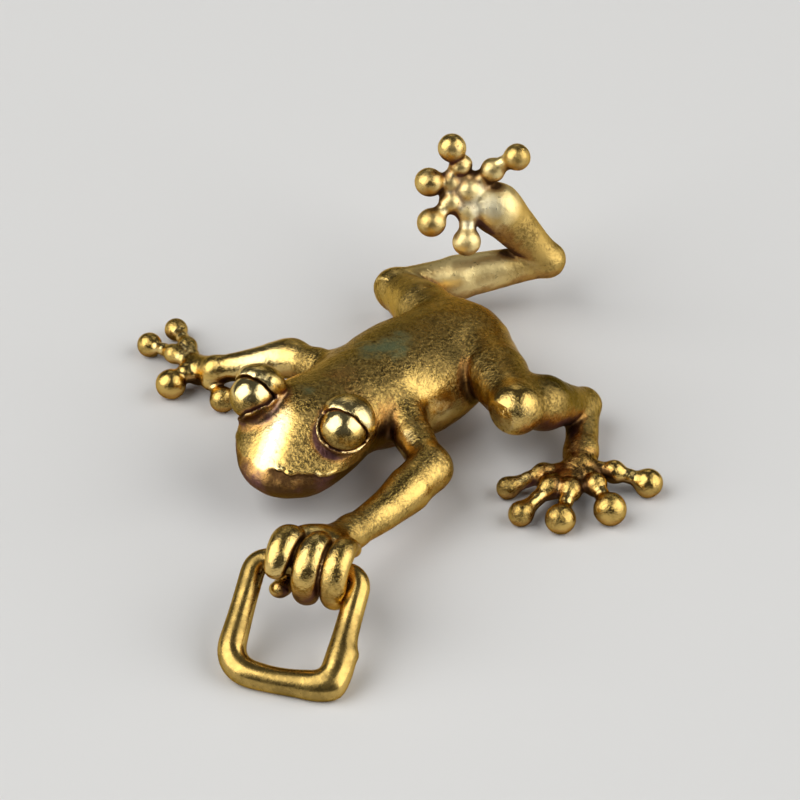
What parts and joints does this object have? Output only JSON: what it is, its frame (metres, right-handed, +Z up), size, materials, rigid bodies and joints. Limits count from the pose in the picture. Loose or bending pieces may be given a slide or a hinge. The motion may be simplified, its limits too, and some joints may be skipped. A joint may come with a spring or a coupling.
{
  "type": "miniature frog statue",
  "caption": "Cast brass tree frog sprawled on its belly with a raised hind foot and bulging lidded eyes, its closed left fist holding a square wire ring that swings freely.",
  "frame": {"origin": "on the flat filed under the belly, below the middle of the back, on the surface that the frog lies on", "axes": "+Z up, -Y the way the frog's body faces, +X the frog's left"},
  "size_m": [0.0493, 0.0603, 0.0182],
  "materials": {
    "cast_brass": "antique cast brass, polished on high spots, brown patina in the recesses",
    "polished_brass": "polished",
    "ring_brass": "satin drawn wire"
  },
  "bodies": {
    "frog": {"torso": "cast_brass", "head": "cast_brass", "left_eyeball": "polished_brass", "left_eyelid": "cast_brass", "right_eyeball": "polished_brass", "right_eyelid": "cast_brass", "left_upper_arm": "cast_brass", "left_forearm": "cast_brass", "left_palm": "cast_brass", "left_finger_1": "cast_brass", "left_finger_2": "cast_brass", "left_finger_3": "cast_brass", "left_thumb": "cast_brass", "right_upper_arm": "cast_brass", "right_forearm": "cast_brass", "right_hand": "cast_brass", "left_thigh": "cast_brass", "left_shank": "cast_brass", "left_foot": "cast_brass", "right_thigh": "cast_brass", "right_shank": "cast_brass", "right_foot": "cast_brass"},
    "ring": {"grip_ring": "ring_brass"}
  },
  "joints": [
    {"name": "ring_swing", "type": "hinge", "parent": "frog", "child": "ring", "pos_m": [0.01498, -0.02718, 0.00599], "axis": [-0.866, -0.5, 0], "range_deg": [-120, 190]}
  ]
}
